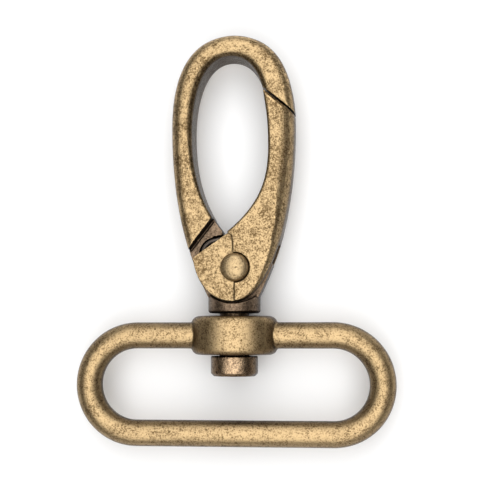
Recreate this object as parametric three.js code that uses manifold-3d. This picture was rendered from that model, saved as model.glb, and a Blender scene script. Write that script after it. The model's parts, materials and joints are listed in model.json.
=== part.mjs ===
// A swivel snap hook with an oval strap loop, of the kind sewn onto 38 mm webbing.
// Millimetres. The part lies on its back: +X across the loop, +Y from the loop to the hook's crown, +Z up.
// Shapes are drawn about the swivel axis (x = 0), the middle of the loop's boss (y = 0) and the
// mid-plane of the castings (z = 0). The assembly group at the end moves them onto the part's origin.
import {
  BoxGeometry,
  BufferAttribute,
  BufferGeometry,
  CatmullRomCurve3,
  Curve,
  CylinderGeometry,
  ExtrudeGeometry,
  Group,
  LatheGeometry,
  Mesh,
  MeshStandardMaterial,
  Shape,
  Vector2,
  Vector3,
} from "three";
import { mergeVertices } from "three/addons/utils/BufferGeometryUtils.js";
import Module from "manifold-3d";

const wasm = await Module();
wasm.setup();

// Strap loop: round bar bent to an oval, with a boss for the swivel in the middle of one long side.
const strapWidth = 38.1;
const barDiameter = 3.74;
const loopInsideHeight = 10.08;
const bossWidth = 12.2;
const bossDepth = 10;
const bossLength = 5.5;
const bossEdge = 0.9;

// Swivel pin: head under the boss, shank through its bore, spigot pressed into the hook's neck.
const pinHeadDiameter = 6.7;
const pinHeadLength = 2.83;
const pinHeadChamfer = 0.35;
const pinShankDiameter = 4.2;
const pinSpigotDiameter = 2.2;
const pinSpigotLength = 3.9;
const runningClearance = 0.1;
const pressClearance = 0.02;
const headGap = 0.17;

// Hook: two arms and a crown cast in one with the tongue and the neck.
const neckDiameter = 7.46;
const neckBottom = 3.16;
const neckTop = 8.4;
const armDepth = 6.4;
const armEdge = 1.1;
const tongueDepth = 3.2;
const tongueTopRadius = 5.05;

// Gate: an arm that closes the hook, forked into two cheeks that hold the tongue between them.
const gateDepth = 6.8;
const gateEdge = 0.9;
const cheekEdge = 0.4;
const slotWidth = 3.5;
const slotRadius = 6;
const noseGap = 0.2;

const rivetCentre = new Vector2(0.37, 9.51);
const rivetShankDiameter = 1.7;
const rivetHeadDiameter = 4;
const rivetHeadHeight = 1.05;

// Torsion spring: coils in a round pocket of the tongue, one leg out to the gate's web.
const pocketCentre = new Vector2(-2.47, 11.52);
const pocketRadius = 2.37;
const pocketFloor = -1.1;
const wireDiameter = 0.6;
const coilRadius = 1.8;
const coilTurns = 3;
const coilBottom = -0.75;
const coilTop = 1.1;
const legAngle = (11 * Math.PI) / 180;
const legLength = 5.9;
const legHook = 0.62;

// The hook's nose and the gate's tip meet along this slanting line.
const noseInner = new Vector2(4.3, 35.29);
const noseOuter = new Vector2(9.6, 31.02);

// Sizes worked out from the ones above.
const barRadius = barDiameter / 2;
const loopEndRadius = (loopInsideHeight + barDiameter) / 2;
const barStraight = strapWidth / 2 + barRadius - loopEndRadius;

function solid(geometry) {
  const bare = geometry.clone();
  bare.deleteAttribute("normal");
  bare.deleteAttribute("uv");
  const merged = mergeVertices(bare, 1e-4);
  return new wasm.Manifold(
    new wasm.Mesh({
      numProp: 3,
      vertProperties: merged.attributes.position.array,
      triVerts: new Uint32Array(merged.index.array),
    }),
  );
}

function geometryOf(body) {
  const mesh = body.getMesh();
  const geometry = new BufferGeometry();
  geometry.setAttribute("position", new BufferAttribute(mesh.vertProperties, mesh.numProp));
  geometry.setIndex(new BufferAttribute(mesh.triVerts, 1));
  const faceted = geometry.toNonIndexed();
  faceted.computeVertexNormals();
  return faceted;
}

// A plate cut to an outline, from zLow to zHigh, with its edges rounded inside the outline.
function plate(outline, zLow, zHigh, edge = 0, curveSegments = 14) {
  const geometry = new ExtrudeGeometry(outline, {
    depth: zHigh - zLow - 2 * edge,
    curveSegments,
    bevelEnabled: edge > 0,
    bevelThickness: edge,
    bevelSize: edge,
    bevelOffset: -edge,
    bevelSegments: 3,
  });
  geometry.translate(0, 0, zLow + edge);
  return solid(geometry);
}

function centredPlate(outline, depth, edge = 0) {
  return plate(outline, -depth / 2, depth / 2, edge);
}

function disc(centre, radius) {
  return new Shape().absarc(centre.x, centre.y, radius, 0, 2 * Math.PI);
}

// A round bar or bore along Y.
function barAlongY(radius, yLow, yHigh, segments = 32) {
  const geometry = new CylinderGeometry(radius, radius, yHigh - yLow, segments);
  geometry.translate(0, (yLow + yHigh) / 2, 0);
  return solid(geometry);
}

// A round bore along Z through the whole depth of the part.
function boreAlongZ(centre, radius) {
  return plate(disc(centre, radius), -bossDepth, bossDepth);
}

// The centre line of the strap loop's bar, from the boss round the loop and back to the boss.
class LoopCentreline extends Curve {
  constructor(bossInset) {
    super();
    this.topBar = barStraight - bossInset;
    this.bend = Math.PI * loopEndRadius;
    this.total = 2 * this.topBar + 2 * this.bend + 2 * barStraight;
    this.bossInset = bossInset;
  }

  getPoint(t) {
    let distance = t * this.total;
    if (distance <= this.topBar) return new Vector3(this.bossInset + distance, 0, 0);
    distance -= this.topBar;
    if (distance <= this.bend) return this.onEnd(barStraight, Math.PI / 2 - distance / loopEndRadius);
    distance -= this.bend;
    if (distance <= 2 * barStraight) return new Vector3(barStraight - distance, -2 * loopEndRadius, 0);
    distance -= 2 * barStraight;
    if (distance <= this.bend) return this.onEnd(-barStraight, -Math.PI / 2 - distance / loopEndRadius);
    distance -= this.bend;
    return new Vector3(distance - barStraight, 0, 0);
  }

  onEnd(centreX, angle) {
    const x = centreX + loopEndRadius * Math.cos(angle);
    return new Vector3(x, loopEndRadius * (Math.sin(angle) - 1), 0);
  }
}

function strapLoop() {
  const bar = new ExtrudeGeometry(disc(new Vector2(), barRadius), {
    steps: 84,
    curveSegments: 9,
    bevelEnabled: false,
    extrudePath: new LoopCentreline(bossWidth / 4),
  });
  const section = new Shape().absellipse(0, 0, bossWidth / 2, bossDepth / 2, 0, 2 * Math.PI);
  const boss = new ExtrudeGeometry(section, {
    depth: bossLength - 2 * bossEdge,
    curveSegments: 22,
    bevelThickness: bossEdge,
    bevelSize: bossEdge,
    bevelOffset: -bossEdge,
    bevelSegments: 3,
  });
  boss.translate(0, 0, bossEdge - bossLength / 2);
  boss.rotateX(-Math.PI / 2);
  const bore = barAlongY(pinShankDiameter / 2 + runningClearance, -bossLength, bossLength);
  return solid(bar).add(solid(boss)).subtract(bore);
}

function swivelPin() {
  const headTop = -bossLength / 2 - headGap;
  const headBottom = headTop - pinHeadLength;
  const shankTop = neckBottom - pressClearance;
  const profile = [
    new Vector2(0, headBottom),
    new Vector2(pinHeadDiameter / 2 - pinHeadChamfer, headBottom),
    new Vector2(pinHeadDiameter / 2, headBottom + pinHeadChamfer),
    new Vector2(pinHeadDiameter / 2, headTop),
    new Vector2(pinShankDiameter / 2, headTop),
    new Vector2(pinShankDiameter / 2, shankTop),
    new Vector2(pinSpigotDiameter / 2, shankTop),
    new Vector2(pinSpigotDiameter / 2, shankTop + pinSpigotLength),
    new Vector2(0, shankTop + pinSpigotLength),
  ];
  return solid(new LatheGeometry(profile, 32));
}

// The outside of the hook, the same on both sides of its centre line.
function hookOutside() {
  return new Shape()
    .moveTo(3.6, 5.4)
    .bezierCurveTo(7.3, 12.7, 8.87, 20.8, 8.87, 30)
    .bezierCurveTo(8.87, 36, 7.3, 40, 4.4, 41.85)
    .bezierCurveTo(3.1, 42.65, 1.5, 43.1, 0, 43.1)
    .bezierCurveTo(-1.5, 43.1, -3.1, 42.65, -4.4, 41.85)
    .bezierCurveTo(-7.3, 40, -8.87, 36, -8.87, 30)
    .bezierCurveTo(-8.87, 20.8, -7.3, 12.7, -3.6, 5.4);
}

// The opening of the closed hook: a pear shape that comes to a V at the tongue.
function hookEye() {
  return new Shape()
    .moveTo(-1.1, 14.25)
    .bezierCurveTo(-4.2, 17.7, -5.86, 22.5, -5.86, 28.9)
    .bezierCurveTo(-5.86, 34.5, -4.3, 40, -0.4, 40)
    .bezierCurveTo(2.4, 40, 4.1, 37.4, 4.55, 33.6)
    .bezierCurveTo(4.9, 31.5, 5.08, 29.7, 5.08, 27.5)
    .bezierCurveTo(5.2, 21.8, 3.9, 18.3, -1.1, 14.25);
}

function hookRing(depth, edge) {
  const outline = hookOutside();
  outline.holes.push(hookEye());
  return centredPlate(outline, depth, edge);
}

// All that lies below the slanting nose line, down to the hook's shoulder on the left.
function gateWindow() {
  const shoulderCentre = new Vector2(0.8, 10.2);
  const shoulderRadius = 7.37;
  return new Shape()
    .moveTo(noseInner.x, noseInner.y)
    .lineTo(noseOuter.x, noseOuter.y)
    .lineTo(12, 30)
    .lineTo(12, 0)
    .lineTo(-12, 0)
    .lineTo(-12, 10.2)
    .absarc(shoulderCentre.x, shoulderCentre.y, shoulderRadius, Math.PI, 0.6 * Math.PI, true)
    .lineTo(0, 30);
}

// What is cut from the ring to leave the tongue: the round top edge that the gate turns on, and the right arm.
function tongueWindow() {
  return new Shape()
    .moveTo(noseInner.x, noseInner.y)
    .lineTo(noseOuter.x, noseOuter.y)
    .lineTo(12, 30)
    .lineTo(12, 10.3)
    .absarc(rivetCentre.x, rivetCentre.y, tongueTopRadius, 0.16, 0.62 * Math.PI, false)
    .lineTo(-0.8, 20);
}

// The hollow across the neck that the cheeks' round ends turn in. Its centre lies left of the rivet,
// because the cheeks are fuller on that side.
function neckHollow() {
  return disc(new Vector2(rivetCentre.x - 0.3, rivetCentre.y + 0.1), 5.2);
}

function neck() {
  const halfTongue = tongueDepth / 2;
  const blank = barAlongY(neckDiameter / 2, neckBottom, neckTop, 40);
  return blank
    .subtract(plate(neckHollow(), halfTongue, neckDiameter))
    .subtract(plate(neckHollow(), -neckDiameter, -halfTongue));
}

// The pocket for the coils and the channel that lets the spring's leg out to the gate.
function springPocket() {
  const channelWidth = 1.1;
  const channelFloor = coilTop - wireDiameter / 2 - 0.15;
  const start = legStart();
  const channel = new Shape()
    .moveTo(0, -channelWidth / 2)
    .lineTo(9, -channelWidth / 2)
    .lineTo(9, channelWidth / 2)
    .lineTo(0, channelWidth / 2);
  const groove = new ExtrudeGeometry(channel, { depth: tongueDepth, bevelEnabled: false });
  groove.rotateZ(legAngle);
  groove.translate(start.x, start.y, channelFloor);
  return plate(disc(pocketCentre, pocketRadius), pocketFloor, tongueDepth).add(solid(groove));
}

function hookBody() {
  const arms = hookRing(armDepth, armEdge).subtract(centredPlate(gateWindow(), 2 * armDepth));
  const tongue = hookRing(tongueDepth, 0).subtract(centredPlate(tongueWindow(), 2 * armDepth));
  const spigotBore = barAlongY(pinSpigotDiameter / 2 + pressClearance, 0, neckBottom + pinSpigotLength);
  return arms
    .add(tongue)
    .add(neck())
    .subtract(boreAlongZ(rivetCentre, rivetShankDiameter / 2 + runningClearance))
    .subtract(spigotBore)
    .subtract(springPocket());
}

// The part of the ring that swings: below the nose line, down to the open end of the web.
function gateArmWindow() {
  const normal = noseOuter.clone().sub(noseInner).normalize();
  normal.set(normal.y, -normal.x).multiplyScalar(noseGap);
  const webEnd = 12.9;
  return new Shape()
    .moveTo(noseInner.x + normal.x, noseInner.y + normal.y)
    .lineTo(noseOuter.x + normal.x, noseOuter.y + normal.y)
    .lineTo(12, 30)
    .lineTo(12, webEnd)
    .lineTo(0.6, webEnd)
    .lineTo(0.6, 26);
}

function cheekOutline() {
  return new Shape()
    .moveTo(-0.95, 14.12)
    .lineTo(-5.6, 11.05)
    .bezierCurveTo(-5.2, 7.3, -3, 4.7, 0.2, 4.7)
    .bezierCurveTo(2.3, 4.7, 4.7, 7, 6.55, 12.9)
    .lineTo(7, 16)
    .lineTo(2.3, 17.1);
}

// The space between the cheeks: round about the rivet, so that the tongue clears it at every angle.
function gateSlot() {
  const webFace = 0.19 * Math.PI;
  return new Shape()
    .moveTo(-12, 0)
    .lineTo(12, 0)
    .lineTo(12, 12.9)
    .absarc(rivetCentre.x, rivetCentre.y, slotRadius, webFace, 0.62 * Math.PI, false)
    .lineTo(-12, 16);
}

// A small notch in the web for the end of the spring's leg.
function legNotch() {
  const tip = legEnd();
  const notch = new BoxGeometry(1.3, 2.2, slotWidth);
  notch.translate(tip.x, tip.y + 0.2, 0);
  return solid(notch);
}

function gate() {
  const arm = hookRing(gateDepth, gateEdge).intersect(centredPlate(gateArmWindow(), 2 * gateDepth));
  return arm
    .add(centredPlate(cheekOutline(), gateDepth, cheekEdge))
    .subtract(centredPlate(gateSlot(), slotWidth))
    .subtract(legNotch())
    .subtract(boreAlongZ(rivetCentre, rivetShankDiameter / 2 + pressClearance));
}

function gateRivet() {
  const seat = gateDepth / 2 + pressClearance;
  const headRadius = rivetHeadDiameter / 2;
  const shankRadius = rivetShankDiameter / 2;
  const domeSteps = 6;
  const dome = [];
  for (let step = 0; step <= domeSteps; step += 1) {
    const angle = (step / domeSteps) * (Math.PI / 2);
    dome.push(new Vector2(headRadius * Math.sin(angle), seat + rivetHeadHeight * Math.cos(angle)));
  }
  const bottomDome = dome.map((point) => new Vector2(point.x, -point.y));
  const topDome = dome.toReversed();
  const shank = [new Vector2(shankRadius, -seat), new Vector2(shankRadius, seat)];
  const geometry = new LatheGeometry([...bottomDome, ...shank, ...topDome], 32);
  geometry.rotateX(Math.PI / 2);
  geometry.translate(rivetCentre.x, rivetCentre.y, 0);
  return solid(geometry);
}

// Where the leg leaves the coil: the point whose tangent runs along the leg.
function legStart() {
  const angle = Math.PI / 2 + legAngle;
  return new Vector3(
    pocketCentre.x + coilRadius * Math.cos(angle),
    pocketCentre.y + coilRadius * Math.sin(angle),
    coilTop,
  );
}

function legEnd() {
  return legStart().add(new Vector3(legLength * Math.cos(legAngle), legLength * Math.sin(legAngle), 0));
}

function gateSpring() {
  const pointsPerTurn = 14;
  const count = coilTurns * pointsPerTurn;
  const points = [];
  for (let index = 0; index <= count; index += 1) {
    const left = 1 - index / count;
    const angle = Math.PI / 2 + legAngle + left * coilTurns * 2 * Math.PI;
    points.push(
      new Vector3(
        pocketCentre.x + coilRadius * Math.cos(angle),
        pocketCentre.y + coilRadius * Math.sin(angle),
        coilTop - left * (coilTop - coilBottom),
      ),
    );
  }
  const end = legEnd();
  points.push(legStart().lerp(end, 0.5), end, end.clone().add(new Vector3(0.25, legHook, 0)));
  const wire = new ExtrudeGeometry(disc(new Vector2(), wireDiameter / 2), {
    steps: 90,
    curveSegments: 4,
    bevelEnabled: false,
    extrudePath: new CatmullRomCurve3(points),
  });
  return solid(wire);
}

const antiqueBrass = new MeshStandardMaterial({ color: 0x9a7a4e, roughness: 0.42, metalness: 0.95 });
const wornBrass = new MeshStandardMaterial({ color: 0xb08f5c, roughness: 0.38, metalness: 0.95 });
const darkBronze = new MeshStandardMaterial({ color: 0x6a523c, roughness: 0.45, metalness: 0.9 });
const springSteel = new MeshStandardMaterial({ color: 0x77726c, roughness: 0.4, metalness: 1 });

function named(name, body, material) {
  const mesh = new Mesh(geometryOf(body), material);
  mesh.name = name;
  return mesh;
}

const hook = new Group();
hook.add(
  named("hook_body", hookBody(), antiqueBrass),
  named("swivel_pin", swivelPin(), darkBronze),
  named("gate_spring", gateSpring(), springSteel),
  named("gate", gate(), antiqueBrass),
  named("gate_rivet", gateRivet(), wornBrass),
);

const snapHook = new Group();
snapHook.add(named("strap_loop", strapLoop(), antiqueBrass), hook);
const crownTop = 43.1;
const loopBottom = -2 * loopEndRadius - barRadius;
snapHook.position.set(0, -(crownTop + loopBottom) / 2, bossDepth / 2);

export default snapHook;
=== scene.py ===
# %% [markdown]
# # A swivel snap hook in antique brass
# The real object is a set of small castings: an oval loop that takes a strap, a hook that turns in
# the loop on a pin, and a gate that swings about a rivet and is pushed shut by a spring. The packed
# part gives every size and joint, so the script starts by loading it and works around it.

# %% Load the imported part
import json
import math

import bmesh
import bpy
import numpy as np
from mathutils import Matrix, Vector
from mathutils.geometry import interpolate_bezier


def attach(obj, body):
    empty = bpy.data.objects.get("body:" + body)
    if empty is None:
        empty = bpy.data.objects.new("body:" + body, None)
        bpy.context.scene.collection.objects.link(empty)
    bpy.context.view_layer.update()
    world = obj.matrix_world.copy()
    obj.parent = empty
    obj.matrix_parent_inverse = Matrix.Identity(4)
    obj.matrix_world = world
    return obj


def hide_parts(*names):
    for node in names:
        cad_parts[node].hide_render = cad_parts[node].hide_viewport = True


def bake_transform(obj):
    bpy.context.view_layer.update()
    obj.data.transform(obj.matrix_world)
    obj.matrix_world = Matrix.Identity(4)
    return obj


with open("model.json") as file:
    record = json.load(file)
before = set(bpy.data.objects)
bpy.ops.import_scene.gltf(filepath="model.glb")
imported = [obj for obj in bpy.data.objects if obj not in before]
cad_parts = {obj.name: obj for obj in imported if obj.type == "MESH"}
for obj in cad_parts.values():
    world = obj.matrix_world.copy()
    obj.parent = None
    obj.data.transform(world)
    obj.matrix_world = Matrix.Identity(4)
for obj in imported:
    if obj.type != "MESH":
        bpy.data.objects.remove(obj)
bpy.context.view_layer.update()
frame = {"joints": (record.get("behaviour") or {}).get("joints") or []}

# %% [markdown]
# ## One drawing frame
# Small metal parts are drawn in millimetres about their own axes. Here x = 0 is the swivel axis,
# y = 0 the middle of the loop's boss and z = 0 the mid-plane of the castings. Both moving joints
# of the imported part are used: the swivel gives the origin, and the gate's hinge gives the rivet.

# %% The drawing frame
MM = 0.001
joints = {joint["name"]: joint for joint in frame["joints"]}
swivel_point = Vector(joints["swivel"]["pos_m"])
rivet_point = (Vector(joints["gate_hinge"]["pos_m"]) - swivel_point) / MM
drawing_to_part = Matrix.Translation(swivel_point) @ Matrix.Scale(MM, 4)
print("the rivet stands at", [round(value, 2) for value in rivet_point])

# %% [markdown]
# ## Helpers for outlines
# A casting's outline is a few smooth curves joined end to end. Drawn curves, as in a drawing
# program, need only an end point and two handles each, so they stay easy to read and to change.

# %% Outlines
def curve(start, *spans):
    """Points along joined curves. Each span is its first handle, its second handle and its end."""
    points = [Vector(start)]
    for first_handle, second_handle, end in spans:
        handles = Vector(first_handle), Vector(second_handle)
        points += interpolate_bezier(points[-1], *handles, Vector(end), 40)[1:]
    return [point.to_2d() for point in points]


def on_circle(centre, radius, angle):
    """The point of a circle at an angle in degrees."""
    angle = math.radians(angle)
    return Vector((centre[0] + radius * math.cos(angle), centre[1] + radius * math.sin(angle)))


def arc(centre, radius, start, end, steps=40):
    """Points along an arc, with its angles in degrees."""
    return [on_circle(centre, radius, angle) for angle in np.linspace(start, end, steps)]


def circle(centre, radius, steps=60):
    """A whole turn as a closed outline, without its last point, which falls on the first."""
    return arc(centre, radius, 0, 360, steps)[:-1]


def evenly_spaced(points, step=0.25):
    """The same line with a point at every step along it."""
    xy = np.array([point[:] for point in points])
    travelled = np.concatenate([[0], np.cumsum(np.hypot(*np.diff(xy, axis=0).T))])
    places = np.linspace(0, travelled[-1], max(2, round(travelled[-1] / step) + 1))
    return [Vector(pair) for pair in zip(*(np.interp(places, travelled, side) for side in xy.T))]


def line_length(points):
    """How far it is along a line."""
    return sum((after - before).length for before, after in zip(points, points[1:]))


def mirrored(points):
    """The same line on the other side of the swivel axis, run backwards."""
    return [Vector((-point.x, point.y)) for point in reversed(points)]


# %% [markdown]
# ## Helpers for solids
# Every piece is made as a closed mesh, the way a pattern maker builds a casting: simple solids
# first, then cut away what the machining removes, then melt the solids into one skin. The melting
# is a voxel remesh, and a few smoothing passes after it leave the soft edges that a cast part has.

# %% Solids
def solid(name, vertices, faces):
    """A piece made of these faces, as triangles that all face out."""
    mesh = bpy.data.meshes.new(name)
    mesh.from_pydata([tuple(vertex) for vertex in vertices], [], faces)
    shape = bmesh.new()
    shape.from_mesh(mesh)
    bmesh.ops.triangulate(shape, faces=shape.faces)
    bmesh.ops.recalc_face_normals(shape, faces=shape.faces)
    shape.to_mesh(mesh)
    shape.free()
    piece = bpy.data.objects.new(name, mesh)
    bpy.context.scene.collection.objects.link(piece)
    return piece


def loft(name, rings, joined_up=False):
    """Quads from ring to ring, with a face over each end or the last ring joined to the first."""
    count = len(rings[0])
    vertices = [vertex for ring in rings for vertex in ring]
    faces = []
    for index in range(len(rings) if joined_up else len(rings) - 1):
        here = index * count
        there = (index + 1) % len(rings) * count
        for step in range(count):
            after = (step + 1) % count
            faces.append((here + step, here + after, there + after, there + step))
    if not joined_up:
        faces.append(tuple(range(count)))
        faces.append(tuple(range(len(vertices) - count, len(vertices))))
    return solid(name, vertices, faces)


def prism(name, outline, low=-9, high=9):
    """An outline extruded along z. Unless it is told otherwise, it goes right through every piece."""
    return loft(name, [[(*point, z) for point in outline] for z in (low, high)])


def turned(name, profile, across=1, steps=96):
    """A profile of (radius, y) turned about the swivel axis. across stretches it along x."""
    turns = [2 * math.pi * step / steps for step in range(steps)]
    rings = []
    for radius, y in profile:
        reach = radius * across
        rings.append([(reach * math.cos(turn), y, radius * math.sin(turn)) for turn in turns])
    return loft(name, rings)


def finished_mesh(piece):
    """The piece's mesh with its modifiers, or its bevel, worked out."""
    return bpy.data.meshes.new_from_object(piece.evaluated_get(bpy.context.evaluated_depsgraph_get()))


def apply_modifiers(piece):
    """Keeps what the modifiers make, and takes them off the piece."""
    finished = finished_mesh(piece)
    piece.modifiers.clear()
    piece.data = finished


def cut(piece, *cutters):
    """Takes the cutters' shapes out of the piece."""
    for cutter in cutters:
        difference = piece.modifiers.new("cut", "BOOLEAN")
        difference.operation = "DIFFERENCE"
        difference.solver = "EXACT"
        difference.object = cutter
        apply_modifiers(piece)
    return piece


def melted(name, solids, grain, passes):
    """The solids as one skin of small faces, with its edges softened."""
    shape = bmesh.new()
    for piece in solids:
        shape.from_mesh(piece.data)
    mesh = bpy.data.meshes.new(name)
    shape.to_mesh(mesh)
    shape.free()
    piece = bpy.data.objects.new(name, mesh)
    bpy.context.scene.collection.objects.link(piece)
    remesh = piece.modifiers.new("melt", "REMESH")
    remesh.mode = "VOXEL"
    remesh.voxel_size = grain
    soften = piece.modifiers.new("soften", "SMOOTH")
    soften.factor = 0.5
    soften.iterations = passes
    apply_modifiers(piece)
    return piece


def scrap(*pieces):
    """Removes the solids that were only tools."""
    for piece in pieces:
        bpy.data.objects.remove(piece)


def place(piece, body, node):
    """Moves a finished piece from the drawing frame to the part's frame and fastens it there."""
    piece.data.transform(drawing_to_part)
    piece.data.shade_smooth()
    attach(piece, body)
    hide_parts(node)
    print(piece.name, "has", len(piece.data.polygons), "faces")
    return piece


# %% [markdown]
# ## Flat bars with rounded edges
# The hook and the gate are flat bars whose edges are rolled over by different amounts from place
# to place. A bevel modifier would roll them all alike, unless each edge had its own weight, so the
# bar is lofted instead: a section with four rounded corners travels between the bar's outside line
# and its inside line.

# %% Flat bars
def corner_steps(half_depth, width, crease, steps=9):
    """(inset, height) up a rounded corner. It meets the flat face at the crease angle, in degrees."""
    crease = math.radians(crease)
    radius = width / (1 - math.sin(crease))
    rise = min(radius, 0.98 * half_depth / math.cos(crease))
    foot = half_depth - rise * math.cos(crease)
    angles = np.linspace(math.pi / 2, crease, steps)
    return [(radius * (1 - math.sin(a)), foot + rise * math.cos(a)) for a in angles]


def spread(values, count):
    """A few values turned into count values, evenly spaced along a line."""
    return np.interp(np.linspace(0, 1, count), np.linspace(0, 1, len(values)), values)


def rolled_edge(line, half_depth, widths, creases, side):
    """For each point of a line, its corner's points. side is 1 if the bar lies on the line's left."""
    xy = np.array([point[:] for point in line])
    along = np.gradient(xy, axis=0)
    along /= np.linalg.norm(along, axis=1)[:, None]
    inward = side * np.stack([-along[:, 1], along[:, 0]], axis=1)
    corners = zip(xy, inward, spread(widths, len(xy)), spread(creases, len(xy)))
    edge = []
    for spot, normal, width, crease in corners:
        steps = corner_steps(half_depth, width, crease)
        edge.append([(*(spot + inset * normal), height) for inset, height in steps])
    return edge


def flat_bar(name, half_depth, outside, inside, side=1, stations=200):
    """A bar between two lines that run the same way. Each line has corner widths and crease angles.

    side is 1 if the bar lies on the left of its outside line, and -1 if it lies on the right.
    """
    edges = []
    for (line, widths, creases), inward in ((outside, side), (inside, -side)):
        line = evenly_spaced(line, line_length(line) / (stations - 1))
        edges.append(rolled_edge(line, half_depth, widths, creases, inward))
    rings = []
    for outer, inner in zip(*edges):
        front = [*outer, *reversed(inner)]
        back = [(x, y, -z) for x, y, z in reversed(front)]
        rings.append([*front, *back])
    return loft(name, rings)


# %% [markdown]
# ## The strap loop
# The loop is round bar bent to a long oval, cast in one with an oval boss. The boss stands across
# the bar and has a bore for the swivel pin. The bar is a circle swept along a racetrack line, and
# the boss is a turned barrel stretched sideways, with rims that are rounded over.

# %% Strap loop
bar_radius = 3.74 / 2
loop_end_radius = 6.91
bar_straight = 38.1 / 2 + bar_radius - loop_end_radius
boss_length = 5.5
boss_radius = 10 / 2
boss_stretch = 12.2 / 10
pin_bore_radius = 2.2


def racetrack():
    """The bar's centre line, once round."""
    right = arc((bar_straight, -loop_end_radius), loop_end_radius, 90, -90, 64)
    left = arc((-bar_straight, -loop_end_radius), loop_end_radius, 270, 90, 64)
    line = evenly_spaced([*right, *left, right[0]], 0.5)
    return line[:-1]


def bar_ring(sides=48):
    """The round bar, as a circle of points at each step of its centre line."""
    centre_line = racetrack()
    rings = []
    for index, point in enumerate(centre_line):
        after = centre_line[(index + 1) % len(centre_line)]
        inward = (after - centre_line[index - 1]).orthogonal().normalized()
        section = [on_circle((0, 0), bar_radius, 360 * step / sides) for step in range(sides)]
        rings.append([(*(point + across * inward), height) for across, height in section])
    return loft("bar", rings, joined_up=True)


def barrel():
    """The boss, with a rounded rim at both ends and a waist that is drawn in a hair."""
    rim = 0.95
    half = boss_length / 2
    waist = 0.06
    upper = [(boss_radius - waist, 0), (boss_radius, half - rim)]
    for step in range(1, 13):
        angle = math.pi / 2 * step / 12
        upper.append((boss_radius - rim * (1 - math.cos(angle)), half - rim * (1 - math.sin(angle))))
    lower = [(radius, -y) for radius, y in reversed(upper[1:])]
    return turned("boss", lower + upper, across=boss_stretch)


pin_bore = turned("pin_bore", [(pin_bore_radius, -8), (pin_bore_radius, 8)])
bar = cut(bar_ring(), pin_bore)
boss = cut(barrel(), pin_bore)
strap_loop = melted("strap_loop_casting", [bar, boss], grain=0.12, passes=4)
scrap(bar, boss, pin_bore)
place(strap_loop, "loop", "strap_loop")

# %% [markdown]
# ## The hook's outline
# Seen from the front the hook is an egg with an eye through it. One curve draws the outside, the
# same on both sides, and one draws the eye, which comes to a point where the gate turns. The hook
# body and the gate are both cut from this one figure, so that they line up when the gate is shut.

# %% Outlines of the hook
right_outside = curve(
    (3.6, 5.4),
    ((7.3, 12.7), (8.87, 20.8), (8.87, 30)),
    ((8.87, 36), (7.3, 40), (4.4, 41.85)),
    ((3.1, 42.65), (1.5, 43.1), (0, 43.1)),
)
eye_left = curve(
    (-1.1, 14.25),
    ((-4.2, 17.7), (-5.86, 22.5), (-5.86, 28.9)),
    ((-5.86, 34.5), (-4.3, 40), (-0.4, 40)),
)
eye_right = curve(
    (-0.4, 40),
    ((2.4, 40), (4.1, 37.4), (4.55, 33.6)),
    ((4.9, 31.5), (5.08, 29.7), (5.08, 27.5)),
    ((5.2, 21.8), (3.9, 18.3), (-1.1, 14.25)),
)
left_outside = mirrored(right_outside)


def part_of(line, low, high):
    """The stretch of a line between two heights."""
    return [point for point in line if low <= point.y <= high]


print("the outside is", round(2 * line_length(right_outside), 1), "mm long")

# %% [markdown]
# ## The nose and the shoulder
# Two straight cuts end the hook's own part of the egg. The nose slants across the right side, and
# the gate closes against it. The shoulder slants across the left side, above the tongue.

# %% Nose and shoulder
nose_inner = Vector((4.3, 35.29))
nose_outer = Vector((9.6, 31.02))
nose_run = (nose_outer - nose_inner).normalized()
shoulder_top = Vector((-3.05, 16.4))
shoulder_foot = Vector((-5.75, 12.9))
shoulder_run = (shoulder_foot - shoulder_top).normalized()
shoulder_out = Vector((-shoulder_run.y, shoulder_run.x))


def nose_cutter(name, gap, far_side, low=-9):
    """A block whose slanting face runs along the nose, gap away from it."""
    away = Vector((nose_run.y, -nose_run.x)) * gap
    inner = nose_inner - nose_run + away
    outer = nose_outer + nose_run + away
    return prism(name, [inner, outer, *far_side], low)


def below_shoulder(spot):
    """Whether a spot lies in the corner that the shoulder cuts off."""
    return spot.y < shoulder_top.y + 1 and (spot.to_2d() - shoulder_top).dot(shoulder_out) > -0.03


print("the nose is", round((nose_outer - nose_inner).length, 1), "mm long")

# %% [markdown]
# ## Where the spring goes
# The tongue's pocket, the channel for the spring's leg and the notch in the gate all follow from
# the spring, so its place is settled before the castings that hold it.

# %% The spring's place
pocket_centre = (-2.47, 11.52)
coil_radius = 1.95
leg_slope = 11
leg_length = 5.9
leg_start = on_circle(pocket_centre, coil_radius, 90 + leg_slope)
leg_end = on_circle(leg_start, leg_length, leg_slope)
print("the spring's leg ends at", [round(value, 2) for value in leg_end])

# %% [markdown]
# ## The hook body
# Two arms rise from the shoulder to the crown and come down as far as the nose. Between the arms'
# two faces stands the tongue, a thinner plate with a round top that the gate turns on, and under
# it the round neck. The tongue has a pocket for the spring, and the neck is hollowed front and
# back to let the gate's round ends turn.

# %% Hook body
arm_half_depth = 3.2
tongue_half_depth = 1.6
neck_radius = 7.46 / 2
neck_bottom = 3.16
spigot_bore_radius = 1.12
spigot_bore_top = 7.06


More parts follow.
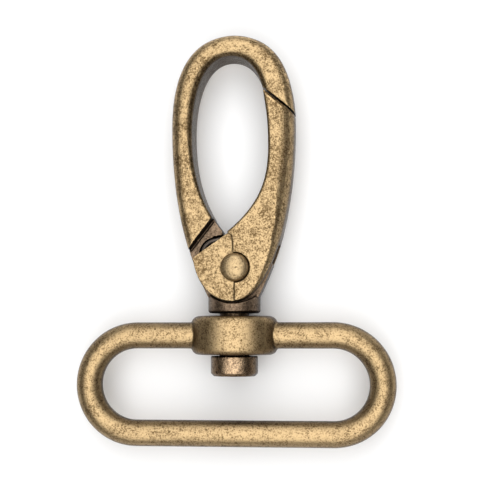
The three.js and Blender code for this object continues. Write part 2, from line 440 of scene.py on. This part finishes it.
def hook_arms():
    """The egg's ring from the shoulder over the crown to the nose."""
    outside = [*part_of(reversed(left_outside), 9, 44), *part_of(reversed(right_outside), 28, 43.09)]
    inside = [*part_of(eye_left, 14.3, 39.99), *part_of(eye_right, 31.5, 40)]
    ring = flat_bar(
        "arms",
        arm_half_depth,
        (outside, [1.15, 1.3, 1.6, 1.7, 1.65, 1.5, 1.5, 1.6, 1.65], [0]),
        (inside, [0.35, 0.85, 1.25, 1.15, 1], [0]),
        side=-1,
    )
    below_nose = nose_cutter("below_nose", 0, [(13, 26), (2, 26)])
    top = shoulder_top - 1.2 * shoulder_run
    foot = shoulder_foot + 3 * shoulder_run
    corner = prism("corner", [top, foot, (foot.x, 0), (12, 0), (12, top.y)])
    cut(ring, below_nose, corner)
    scrap(below_nose, corner)
    return ring


def leg_channel():
    """The room that the spring's leg needs above the pocket's edge, for a leg that swings a little."""
    half_width = 0.55
    floor = 0.65
    reach = 9
    outline = [(0, -half_width), (reach, -half_width), (reach, half_width), (0, half_width)]
    channel = prism("channel", outline, floor)
    turn = Matrix.Rotation(math.radians(leg_slope), 4, "Z")
    channel.data.transform(Matrix.Translation(leg_start.to_3d()) @ turn)
    return channel


def shoulder_groove():
    """A narrow groove in the tongue at the foot of the shoulder."""
    width = 0.42
    floor = 1.05
    near = [shoulder_top - shoulder_run, shoulder_foot + shoulder_run]
    far = [point + width * shoulder_out for point in reversed(near)]
    return prism("groove", [*near, *far], floor)


def tongue():
    """The plate that the gate's cheeks hold, with its pocket, its bore and its two channels."""
    top_radius = 5.05
    pocket_radius = 2.37
    pocket_floor = -1.1
    bore_radius = 0.95
    outline = [
        *part_of(left_outside, 5.4, 17.2),
        *part_of(right_outside, 5.4, 10.31),
        *arc(rivet_point, top_radius, 9.2, 111.6),
        *part_of(eye_left, 14.65, 17.2),
    ]
    plate = prism("tongue", outline, -tongue_half_depth, tongue_half_depth)
    pocket = prism("pocket", circle(pocket_centre, pocket_radius, 90), pocket_floor)
    cutters = [pocket, leg_channel(), prism("bore", circle(rivet_point, bore_radius)), shoulder_groove()]
    cut(plate, *cutters)
    scrap(*cutters)
    return plate


def neck():
    """A round stub, hollowed in front of the tongue and behind it."""
    chamfer = 0.25
    neck_top = 8.4
    hollow_centre = (rivet_point.x - 0.3, rivet_point.y + 0.1)
    hollow_radius = 5.2
    hollow_depth = 6
    profile = [
        (neck_radius - chamfer, neck_bottom),
        (neck_radius, neck_bottom + chamfer),
        (neck_radius, neck_top),
    ]
    stub = turned("neck", profile)
    outline = circle(hollow_centre, hollow_radius, 120)
    front = prism("hollow", outline, tongue_half_depth, tongue_half_depth + hollow_depth)
    back = prism("hollow", outline, -hollow_depth - tongue_half_depth, -tongue_half_depth)
    hollows = [front, back]
    cut(stub, *hollows)
    scrap(*hollows)
    return stub


spigot_bore = turned("spigot_bore", [(spigot_bore_radius, 0), (spigot_bore_radius, spigot_bore_top)])
hook_solids = [hook_arms(), cut(tongue(), spigot_bore), cut(neck(), spigot_bore)]
hook_body = melted("hook_casting", hook_solids, grain=0.1, passes=3)
scrap(*hook_solids, spigot_bore)
place(hook_body, "hook", "hook_body")

# %% [markdown]
# ## The swivel pin
# A turned pin: its head sits under the boss, its shank runs through the bore, and its spigot is
# pressed up into the hook's neck. A lathe profile is all that it needs, a hair smaller than the
# bores.

# %% Swivel pin
pin_head_radius = 3.35
pin_shank_radius = 2.1
spigot_radius = 1.08
pin_profile = [
    (2.95, -5.75),
    (pin_head_radius, -5.32),
    (pin_head_radius, -3.05),
    (3.22, -2.92),
    (pin_shank_radius, -2.92),
    (pin_shank_radius, 3.14),
    (spigot_radius, 3.14),
    (spigot_radius, 7.04),
]
pin_blank = turned("pin_blank", pin_profile)
swivel_pin = melted("swivel_pin_turning", [pin_blank], grain=0.08, passes=2)
scrap(pin_blank)
place(swivel_pin, "hook", "swivel_pin")

# %% [markdown]
# ## The gate
# The gate is the right side of the egg. Its arm is one plate with a broad rounding on the outside,
# and it ends in two round cheeks that hold the tongue between them. The arm and the cheeks are
# lofted apart, because their roundings differ, and both lose the slot for the tongue.

# %% Gate
gate_half_depth = 3.4
slot_half_width = 1.75
web_end = 12.9


def gate_slot():
    """The space between the cheeks, round about the rivet so that the tongue clears it at every angle."""
    radius = 6
    outline = [(-12, 0), (12, 0), (12, web_end), *arc(rivet_point, radius, 34.2, 111.6), (-12, 16)]
    return prism("slot", outline, -slot_half_width, slot_half_width)


def gate_arm():
    """The plate from the web to the nose, with a rebate in its front face along the nose."""
    nose_gap = 0.25
    rebate_width = 0.5
    rebate_depth = 0.3
    above = [(13, 45), (0, 45)]
    outside = part_of(right_outside, 11, 34.2)
    inside = part_of(reversed(eye_right), 14.52, 36.5)
    arm = flat_bar(
        "gate_arm",
        gate_half_depth,
        (outside, [1.2, 1.3, 1.9, 2.2, 2.4, 2.4], [30, 28, 20, 8, 3, 0]),
        (inside, [0.25, 0.35, 0.42, 0.38, 0.35], [10]),
    )
    above_nose = nose_cutter("above_nose", nose_gap, above)
    below_web = prism("below_web", [(-9, 0), (9, 0), (9, web_end), (-9, web_end)])
    rebate = nose_cutter("rebate", rebate_width, above, low=gate_half_depth - rebate_depth)
    cut(arm, above_nose, below_web, rebate)
    scrap(above_nose, below_web, rebate)
    return arm


def gate_cheeks():
    """The round end plates, with the left part of the front face a step lower along the mould's seam."""
    bore_radius = 0.87
    seat_radius = 2.14
    step_depth = 0.2
    rim = curve(
        (-5.58, 10.8),
        ((-5.1, 7.2), (-3, 4.7), (0.2, 4.7)),
        ((2.3, 4.7), (4.7, 7), (6.55, 12.9)),
    )
    chord = [Vector((-5.36, 11.1)), Vector((-0.72, 14.32)), Vector((4.5, 16))]
    cheeks = flat_bar(
        "gate_cheeks",
        gate_half_depth,
        (rim, [0.25, 0.3, 0.35, 0.35, 0.75, 1.05], [15, 20, 25]),
        (chord, [0.2], [10]),
    )
    seam = [(-0.05, 15.2), (0.11, 13), (0.2, 11.6), (0.37, 9.5), (0.35, 7.5), (0.35, 4.3)]
    step = prism("seam_step", [*seam, (-8, 4.3), (-8, 15.2)], gate_half_depth - step_depth)
    bore = prism("bore", circle(rivet_point, bore_radius))
    seat = prism("seat", circle(rivet_point, seat_radius), gate_half_depth - step_depth)
    cut(cheeks, step, bore, seat)
    scrap(step, bore, seat)
    return cheeks


def leg_notch():
    """A small notch in the web for the end of the spring's leg."""
    corners = [(-0.65, -0.9), (0.65, -0.9), (0.65, 1.3), (-0.65, 1.3)]
    outline = [leg_end + Vector(corner) for corner in corners]
    return prism("notch", outline, -slot_half_width, slot_half_width)


slot = gate_slot()
notch = leg_notch()
gate_solids = [cut(gate_arm(), slot, notch), cut(gate_cheeks(), slot)]
gate = melted("gate_casting", gate_solids, grain=0.1, passes=3)
scrap(*gate_solids, slot, notch)
place(gate, "gate", "gate")

# %% [markdown]
# ## The rivet
# The gate turns on a rivet with a domed head on both faces. Half of its profile is drawn, from the
# top of the dome down to the middle of the shank, and the other half mirrors it.

# %% Rivet
rivet_head_radius = 2
rivet_dome = 1.05
rivet_shank_radius = 0.85
rivet_seat = gate_half_depth + 0.02
dome_steps = 24
half_rivet = []
for step in range(1, dome_steps + 1):
    angle = math.pi / 2 * step / dome_steps
    half_rivet.append((rivet_head_radius * math.sin(angle), rivet_seat + rivet_dome * math.cos(angle)))
half_rivet.append((rivet_shank_radius, rivet_seat))
other_half = [(radius, -y) for radius, y in reversed(half_rivet)]
rivet_blank = turned("rivet_blank", half_rivet + other_half)
upright = Matrix.Translation((rivet_point.x, rivet_point.y, 0)) @ Matrix.Rotation(math.pi / 2, 4, "X")
rivet_blank.data.transform(upright)
gate_rivet = melted("gate_rivet_turning", [rivet_blank], grain=0.06, passes=2)
scrap(rivet_blank)
place(gate_rivet, "gate", "gate_rivet")

# %% [markdown]
# ## The spring
# A torsion spring sits in the tongue's pocket: three coils, and a leg that runs out to the gate's
# web. Wire is a curve with a round bevel.

# %% Spring
coil_turns = 3
coil_low = -0.77
coil_high = 1.2
wire_radius = 0.32


def spring_line():
    """The wire's centre line, from the bottom coil up and out to the hooked end of the leg."""
    points = []
    for share in np.linspace(0, 1, coil_turns * 32 + 1):
        angle = 90 + leg_slope + 360 * coil_turns * (1 - share)
        height = coil_low + share * (coil_high - coil_low)
        points.append((*on_circle(pocket_centre, coil_radius, angle), height))
    for share in (0.25, 0.5, 0.75, 1):
        points.append((*leg_start.lerp(leg_end, share), coil_high))
    for hook_step in ((0.2, 0.3), (0.25, 0.62)):
        points.append((*(leg_end + Vector(hook_step)), coil_high))
    return points


def wire(name, points):
    """A round wire along the points, as a mesh."""
    line = bpy.data.curves.new(name, "CURVE")
    line.dimensions = "3D"
    line.bevel_depth = wire_radius
    line.bevel_resolution = 5
    line.use_fill_caps = True
    path = line.splines.new("POLY")
    path.points.add(len(points) - 1)
    for knot, point in zip(path.points, points):
        knot.co = (*point, 1)
    shape = bpy.data.objects.new(name, line)
    bpy.context.scene.collection.objects.link(shape)
    mesh = finished_mesh(shape)
    scrap(shape)
    piece = bpy.data.objects.new(name, mesh)
    bpy.context.scene.collection.objects.link(piece)
    return piece


gate_spring = wire("gate_spring_wire", spring_line())
gate_spring.data.transform(drawing_to_part)
gate_spring.data.shade_smooth()
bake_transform(gate_spring)
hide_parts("gate_spring")
print(gate_spring.name, "has", len(gate_spring.data.polygons), "faces")

# %% [markdown]
# ## Helpers for finishes
# Every finish is built from the same few ideas, so each idea gets a short helper: noise measured in
# millimetres, a soft threshold, a sum with weights and one colour laid over another.

# %% Finish helpers
def add(tree, kind, inputs=(), **settings):
    """A shader node. Each input is another node's output to link, or a value to set."""
    node = tree.nodes.new("ShaderNode" + kind)
    for name, value in settings.items():
        setattr(node, name, value)
    for name, value in dict(inputs).items():
        if isinstance(value, bpy.types.NodeSocket):
            tree.links.new(value, node.inputs[name])
        else:
            node.inputs[name].default_value = value
    return node


def in_millimetres(tree):
    """The place on the piece, in millimetres, so that a pattern moves with its piece."""
    coordinates = add(tree, "TexCoord").outputs["Object"]
    return add(tree, "Mapping", {"Vector": coordinates, "Scale": (1000, 1000, 1000)}).outputs["Vector"]


def noise(tree, spot, per_mm, detail=3, roughness=0.6, seed=0):
    """Cloudy noise from 0 to 1, with this many lumps to a millimetre."""
    inputs = {"Vector": spot, "Scale": per_mm, "Detail": detail, "Roughness": roughness, "W": seed}
    return add(tree, "TexNoise", inputs, noise_dimensions="4D").outputs["Fac"]


def threshold(tree, value, low, high, to_low=0, to_high=1):
    """A smooth step from to_low, where the value is low, to to_high, where it is high."""
    inputs = {"Value": value, "From Min": low, "From Max": high, "To Min": to_low, "To Max": to_high}
    return add(tree, "MapRange", inputs, interpolation_type="SMOOTHSTEP").outputs["Result"]


def arithmetic(tree, operation, first, second):
    return add(tree, "Math", {0: first, 1: second}, operation=operation).outputs["Value"]


def weighted(tree, *parts):
    """The sum of values, each times its weight."""
    total = 0.0
    for value, weight in parts:
        total = arithmetic(tree, "ADD", arithmetic(tree, "MULTIPLY", value, weight), total)
    return total


def painted(tree, under, share, over):
    """The over colour on top of the under colour, as thick as the share says."""
    node = add(tree, "Mix", data_type="RGBA")
    share_socket, under_socket, over_socket = (node.inputs[index] for index in (0, 6, 7))
    tree.links.new(share, share_socket)
    for socket, colour in ((under_socket, under), (over_socket, over)):
        if isinstance(colour, bpy.types.NodeSocket):
            tree.links.new(colour, socket)
        else:
            socket.default_value = (*colour, 1)
    return node.outputs[2]


def scaled(colour, factor):
    return tuple(min(1, factor * value) for value in colour)


# %% [markdown]
# ## Antique brass
# Antique brass is a brass plating that is darkened in a bath and then tumbled. The tumbling rubs
# the dark off the broad faces and the edges, and leaves it in the grain, in pits and as patina in
# corners. Each of these is a mask of its own here, from noise at three scales, from round cells,
# from how enclosed a spot is and from how sharp an edge is. Painted light is laid on as well:
# painted shade on the sides, found from the way that a face points, painted shade added to the
# patina in corners and gaps, and a painted highlight added to the wear on sharp edges. Each
# mask then lays its colour over the last one.

# %% Masks of the antique finish
def speckle_and_mottle(tree, spot, seed):
    """The whole speckle, from cloudy patches to fine grain, and its middle scale alone."""
    cloud = noise(tree, spot, 0.3, detail=2, seed=seed)
    mottle = noise(tree, spot, 1.3, detail=4, seed=seed + 1)
    grain = noise(tree, spot, 4.2, detail=3, roughness=0.75, seed=seed + 2)
    return weighted(tree, (cloud, 0.16), (mottle, 0.22), (grain, 0.62)), mottle


def pitted(tree, spot, mottle):
    """1 in small round pits, which are bigger where the mottle is strong."""
    cells = add(tree, "TexVoronoi", {"Vector": spot, "Scale": 0.8, "Randomness": 1.0}).outputs["Distance"]
    pit_size = threshold(tree, mottle, 0.45, 0.7, 0.03, 0.17)
    return arithmetic(tree, "LESS_THAN", cells, pit_size)


def facing_out(tree):
    """1 on the front and back faces of the casting, 0 on its sides."""
    normal = add(tree, "TexCoord").outputs["Normal"]
    depth = add(tree, "SeparateXYZ", {"Vector": normal}).outputs["Z"]
    return arithmetic(tree, "ABSOLUTE", depth, 0.0)


def hollow_patina_and_shade(tree):
    """1 in corners and gaps, where the dark stands for patina and for painted shade."""
    shade = add(tree, "AmbientOcclusion", {"Distance": 0.002}, samples=8).outputs["AO"]
    return threshold(tree, shade, 0.2, 0.85, 1.0, 0.0)


def worn_and_highlit_edges(tree, facing, edge_wear_and_highlight):
    """Brightens sharp edges, up to the given amount, as rubbed wear and as a painted highlight, but not
    on the sides, which the tumbling doesn't reach.
    """
    sharpness = add(tree, "NewGeometry").outputs["Pointiness"]
    sharp = threshold(tree, sharpness, 0.512, 0.555, 0.0, edge_wear_and_highlight)
    return arithmetic(tree, "MULTIPLY", sharp, threshold(tree, facing, 0.15, 0.45))


# %% [markdown]
# ## One recipe for every finish
# The same recipe gives all the metals here. It takes a bright colour, the dark of the grain and a
# painted shade colour for the sides. darkness says how much of the grain stays dark, and reach how
# far the painted shade creeps from the sides over the rounded edges. The grain also changes the
# gloss and stands up a little in the bump, so that it catches the light.

# %% Antique finish
def antique(name, colours, darkness=0.5, roughness=0.36, reach=0.72, edge_wear_and_highlight=0.85, seed=0):
    """A material from its bright and dark colours and a painted shade colour for its sides."""
    bright, dark, sides = colours
    material = bpy.data.materials.new(name)
    material.use_nodes = True
    tree = material.node_tree
    tree.nodes.clear()
    spot = in_millimetres(tree)
    speckle, mottle = speckle_and_mottle(tree, spot, seed)
    pits = pitted(tree, spot, mottle)
    facing = facing_out(tree)

    grain_dark = threshold(tree, speckle, darkness - 0.09, darkness + 0.07, 1.0, 0.0)
    # Painted shade: faces that turn away from the front and back are darkened towards the side colour.
    side_painted_shade = weighted(tree, (threshold(tree, facing, 0.08, reach, 1.0, 0.0), 0.96))
    colour = painted(tree, bright, grain_dark, dark)
    colour = painted(tree, colour, side_painted_shade, sides)
    colour = painted(tree, colour, weighted(tree, (pits, 0.8)), scaled(dark, 0.3))
    # Patina in corners and gaps, darkened further as painted shade.
    colour = painted(tree, colour, weighted(tree, (hollow_patina_and_shade(tree), 0.8)), scaled(dark, 0.3))
    # Sharp edges are brightened past the bright brass: rubbed wear together with a painted highlight.
    colour = painted(tree, colour, worn_and_highlit_edges(tree, facing, edge_wear_and_highlight), scaled(bright, 1.3))

    gloss = threshold(tree, speckle, 0.4, 0.6, roughness + 0.1, roughness - 0.06)
    height = weighted(tree, (speckle, 1.0), (pits, -0.4))
    bump = add(tree, "Bump", {"Strength": 1.0, "Distance": 0.0001, "Height": height}).outputs["Normal"]
    inputs = {"Base Color": colour, "Metallic": 1.0, "Roughness": gloss, "Normal": bump}
    shader = add(tree, "BsdfPrincipled", inputs).outputs["BSDF"]
    add(tree, "OutputMaterial", {"Surface": shader})
    return material


def finish_with(piece, material):
    piece.data.materials.clear()
    piece.data.materials.append(material)
    print(piece.name, "is finished in", material.name)


# %% [markdown]
# ## The finish of each piece
# The three castings share one brass, and each gets its own seed so that no two speckles match. The
# loop's round bar has no flat faces, so its painted shade on the sides reaches further over. The pin
# is a redder bronze, the rivet's head is rubbed brighter by use, and the spring is dull steel.

# %% Finishes of the pieces
# The third colour of each set is painted shade, laid on the sides of a piece.
brass = ((0.48, 0.342, 0.18), (0.125, 0.078, 0.034), (0.03, 0.0165, 0.0065))
worn_brass = ((0.5, 0.365, 0.2), (0.2, 0.135, 0.068), (0.07, 0.048, 0.026))
bronze = ((0.5, 0.35, 0.215), (0.09, 0.056, 0.032), (0.014, 0.0085, 0.005))
steel = ((0.15, 0.125, 0.105), (0.08, 0.065, 0.055), (0.05, 0.04, 0.034))
loop_finish = antique("antique_brass_loop", brass, darkness=0.475, reach=0.98, edge_wear_and_highlight=0.2, seed=3)
finish_with(strap_loop, loop_finish)
finish_with(hook_body, antique("antique_brass_hook", brass, seed=11))
finish_with(gate, antique("antique_brass_gate", brass, seed=23))
finish_with(gate_rivet, antique("worn_brass", worn_brass, darkness=0.48, roughness=0.4, seed=31))
pin_finish = antique("dark_bronze", bronze, darkness=0.48, roughness=0.28, reach=1.1, seed=41)
finish_with(swivel_pin, pin_finish)
finish_with(gate_spring, antique("spring_steel", steel, darkness=0.45, roughness=0.6, seed=53))

# %% [markdown]
# ## The shaded faces
# The tongue between the arms, the neck under the cheeks and the inside of the gate's slot lie in
# shade, and a darker, browner finish paints that shade on; the slot's is nearly black. These faces
# get a second material slot, picked by where they lie: below the shoulder on the hook body, and
# between the cheeks on the gate.

# %% Painted shade on the sheltered faces
def give_second_finish(piece, material, chosen):
    """Puts the material on the faces whose centre, in the drawing frame, is chosen."""
    piece.data.materials.append(material)
    part_to_drawing = drawing_to_part.inverted()
    count = 0
    for face in piece.data.polygons:
        if chosen(part_to_drawing @ face.center):
            face.material_index = 1
            count += 1
    print(count, "faces of", piece.name, "are sheltered")


def in_slot(spot):
    """Whether a spot of the gate lies on the inside of its slot."""
    return spot.y < web_end + 0.1 and abs(spot.z) < slot_half_width + 0.07


# Painted shade: darker browns for the tongue and neck, and near black for the inside of the slot.
painted_shade_brass = ((0.225, 0.158, 0.104), (0.075, 0.05, 0.032), (0.022, 0.015, 0.01))
slot_painted_shade = ((0.07, 0.05, 0.034), (0.025, 0.018, 0.012), (0.018, 0.013, 0.009))
tongue_shade_finish = antique("painted_shade_brass", painted_shade_brass, darkness=0.49, seed=61)
slot_shade_finish = antique("slot_painted_shade", slot_painted_shade, darkness=0.49, seed=71)
give_second_finish(hook_body, tongue_shade_finish, below_shoulder)
give_second_finish(gate, slot_shade_finish, in_slot)

# %% [markdown]
# ## The floor
# Small metal ware is shown on a sheet of white paper. A wide square of matt white is enough.

# %% Floor
def white_sheet():
    half = 0.8
    corners = [(-half, -half, 0), (half, -half, 0), (half, half, 0), (-half, half, 0)]
    floor = solid("floor", corners, [(0, 1, 2, 3)])
    sheet = bpy.data.materials.new("white_sheet")
    sheet.use_nodes = True
    shader = sheet.node_tree.nodes["Principled BSDF"]
    shader.inputs["Base Color"].default_value = (0.95, 0.95, 0.95, 1)
    shader.inputs["Roughness"].default_value = 0.9
    finish_with(floor, sheet)


white_sheet()

# %% [markdown]
# ## The light
# One long soft light hangs over the sheet. It is narrow from left to right and long from front to
# back, so that upright round bars get dark sides and the level ones keep a broad bright band. The
# room around it is dim, because metal needs something dark to reflect, or its edges wouldn't show.

# %% Light
def softbox(name, above, height, size, watts):
    """A rectangular light that looks straight down at the point below it."""
    lamp = bpy.data.lights.new(name, "AREA")
    lamp.shape = "RECTANGLE"
    lamp.size, lamp.size_y = size
    lamp.energy = watts
    light = bpy.data.objects.new(name, lamp)
    light.location = (*above, height)
    light.rotation_euler = Vector((0, 0, -height)).to_track_quat("-Z", "Y").to_euler()
    bpy.context.scene.collection.objects.link(light)
    print(name, "is", height, "m above the floor and", size, "m in size")


def dim_room(strength):
    world = bpy.data.worlds.new("dim_room")
    world.use_nodes = True
    background = world.node_tree.nodes["Background"]
    background.inputs["Color"].default_value = (0.5, 0.5, 0.5, 1)
    background.inputs["Strength"].default_value = strength
    bpy.context.scene.world = world


softbox("overhead", above=(0.01, 0.2), height=0.4, size=(0.56, 1.9), watts=7.7)
dim_room(0.06)
bpy.context.scene.view_settings.view_transform = "Standard"

# %% [markdown]
# ## The camera
# The camera looks almost straight down, a little from the right and from the strap's side, so that
# some of the right and lower sides show. It is close, as it is for small ware, so its clipping
# starts close as well.

# %% Camera
def look_down(aim, lean_right, lean_down, distance, focal_length):
    """A camera over the aim point, leaning by these angles in degrees from straight above it."""
    lean_x = math.tan(math.radians(lean_right))
    lean_y = -math.tan(math.radians(lean_down))
    back = Vector((lean_x, lean_y, 1)).normalized()
    right = Vector((0, 1, 0)).cross(back).normalized()
    turn = Matrix((right, back.cross(right), back)).transposed().to_4x4()
    lens = bpy.data.cameras.new("camera")
    lens.lens = focal_length
    lens.clip_start = 0.01
    camera = bpy.data.objects.new("camera", lens)
    camera.matrix_world = Matrix.Translation(aim + distance * back) @ turn
    bpy.context.scene.collection.objects.link(camera)
    bpy.context.scene.camera = camera
    print("the camera stands at", [round(value, 3) for value in camera.matrix_world.translation])


aim_point = drawing_to_part @ Vector((0.796, 13.63, 0))
look_down(aim_point, lean_right=6, lean_down=5.3, distance=0.15, focal_length=78.4)
